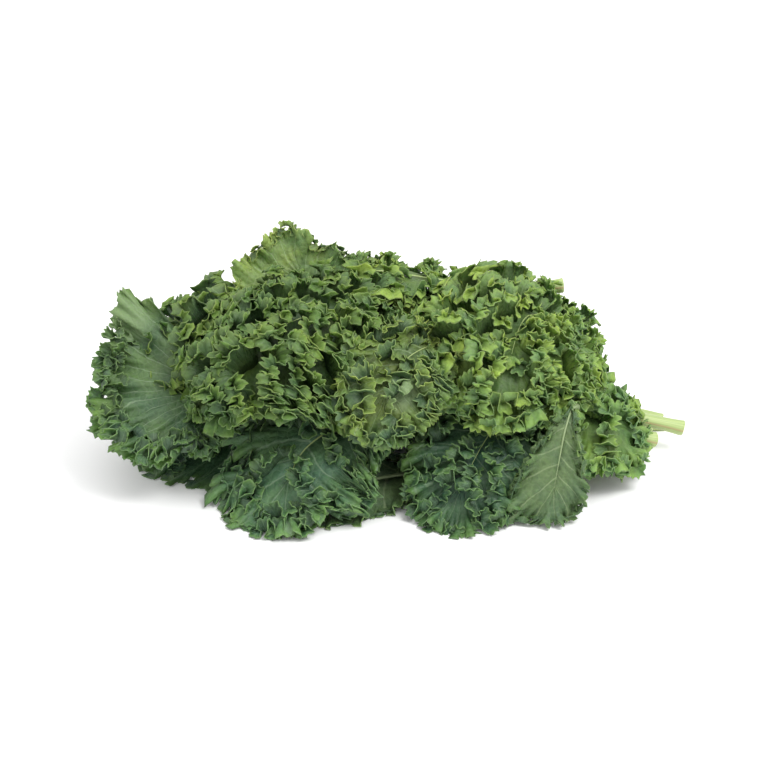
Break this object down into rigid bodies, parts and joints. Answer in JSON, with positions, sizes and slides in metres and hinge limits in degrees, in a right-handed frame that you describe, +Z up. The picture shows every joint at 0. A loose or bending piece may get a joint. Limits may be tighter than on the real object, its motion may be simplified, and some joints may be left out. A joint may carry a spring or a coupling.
{
  "type": "kale bunch",
  "caption": "Bunch of curly kale, cut and laid down, with ruffled leaves, frilled edges and pale stalks",
  "frame": {"origin": "middle of the footprint, on the surface that the bunch lies on", "axes": "+X towards the cut ends of the stalks, +Z up, -Y is the front that the picture shows"},
  "size_m": [0.3711, 0.2206, 0.1318],
  "materials": {
    "curly_leaf": "fresh waxy leaf, mid green, paler yellow-green along the toothed edges",
    "dark_leaf": "fresh waxy leaf in shade, dark blue-green with pale veins",
    "grey_green_leaf": "dull waxy leaf, grey-green with fine pale veins",
    "leaf_underside": "matte pale leaf underside with a raised pale midrib"
  },
  "bodies": {
    "root": {"front_pale_leaf": "leaf_underside", "centre_leaf": "curly_leaf", "top_left_leaf": "curly_leaf", "left_dome_leaf": "curly_leaf", "right_dome_leaf": "curly_leaf", "far_left_leaf": "grey_green_leaf", "front_left_leaf": "dark_leaf", "front_mid_leaf": "dark_leaf", "right_leaf": "curly_leaf", "top_centre_leaf": "curly_leaf", "back_left_leaf": "curly_leaf", "back_right_leaf": "curly_leaf", "front_turned_leaf": "leaf_underside", "lower_left_leaf": "dark_leaf", "under_leaf": "dark_leaf"}
  },
  "joints": []
}
